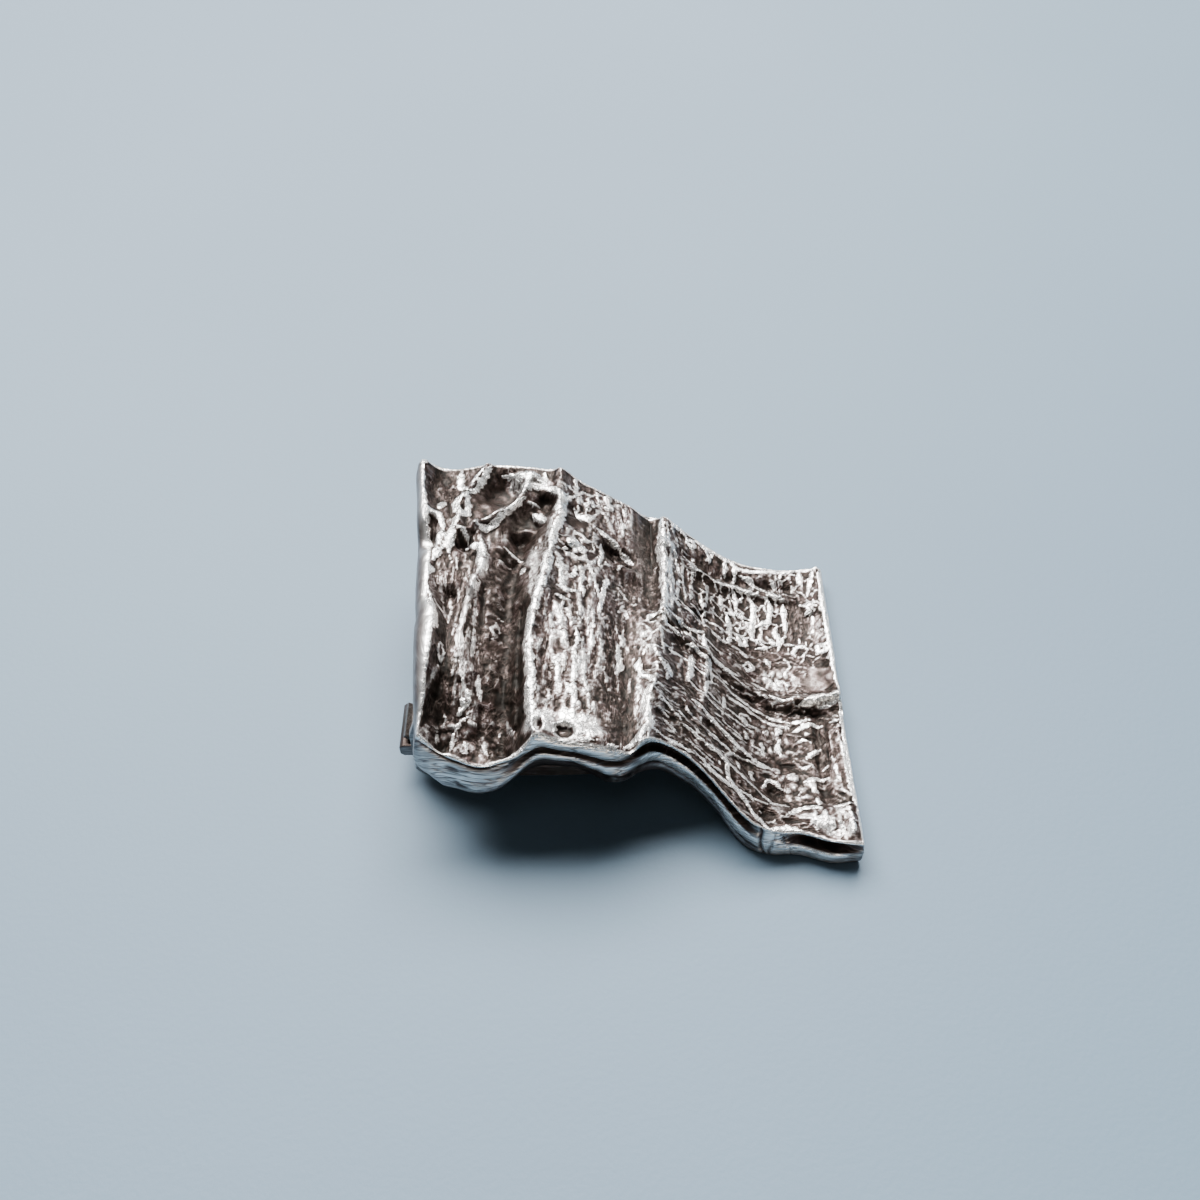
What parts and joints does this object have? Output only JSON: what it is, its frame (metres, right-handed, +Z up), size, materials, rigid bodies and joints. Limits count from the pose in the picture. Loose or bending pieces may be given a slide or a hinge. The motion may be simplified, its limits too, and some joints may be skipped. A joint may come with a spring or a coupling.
{
  "type": "clip-on earring",
  "caption": "Square, wavy cast silver plate with bark-like relief, worn as an earring on a sprung paddle clip hinged at the back of one end.",
  "frame": {"origin": "on the surface it lies on, under the middle of its box, face up with the clip shut", "axes": "+X from the hinge end to the low end of the plate, +Y across it away from the near edge, +Z up out of the face"},
  "size_m": [0.0312, 0.029, 0.0116],
  "materials": {
    "cast_silver": "cast sterling silver, dark oxide in the recesses and worn bright on the high places",
    "clip_silver": "tarnished silver, greenish grey",
    "spring_strip": "dull grey strip"
  },
  "bodies": {
    "plate": {"front_plate": "cast_silver", "leaf_spring": "spring_strip"},
    "lever": {"clip_lever": "clip_silver"}
  },
  "joints": [
    {"name": "clip_hinge", "type": "hinge", "parent": "plate", "child": "lever", "pos_m": [-0.01215, -0.00525, 0.0026], "axis": [0, 1, 0], "range_deg": [0, 70], "stiffness_Nm_per_rad": 0.012, "springref_deg": -68.75, "deforming": ["leaf_spring"]}
  ]
}
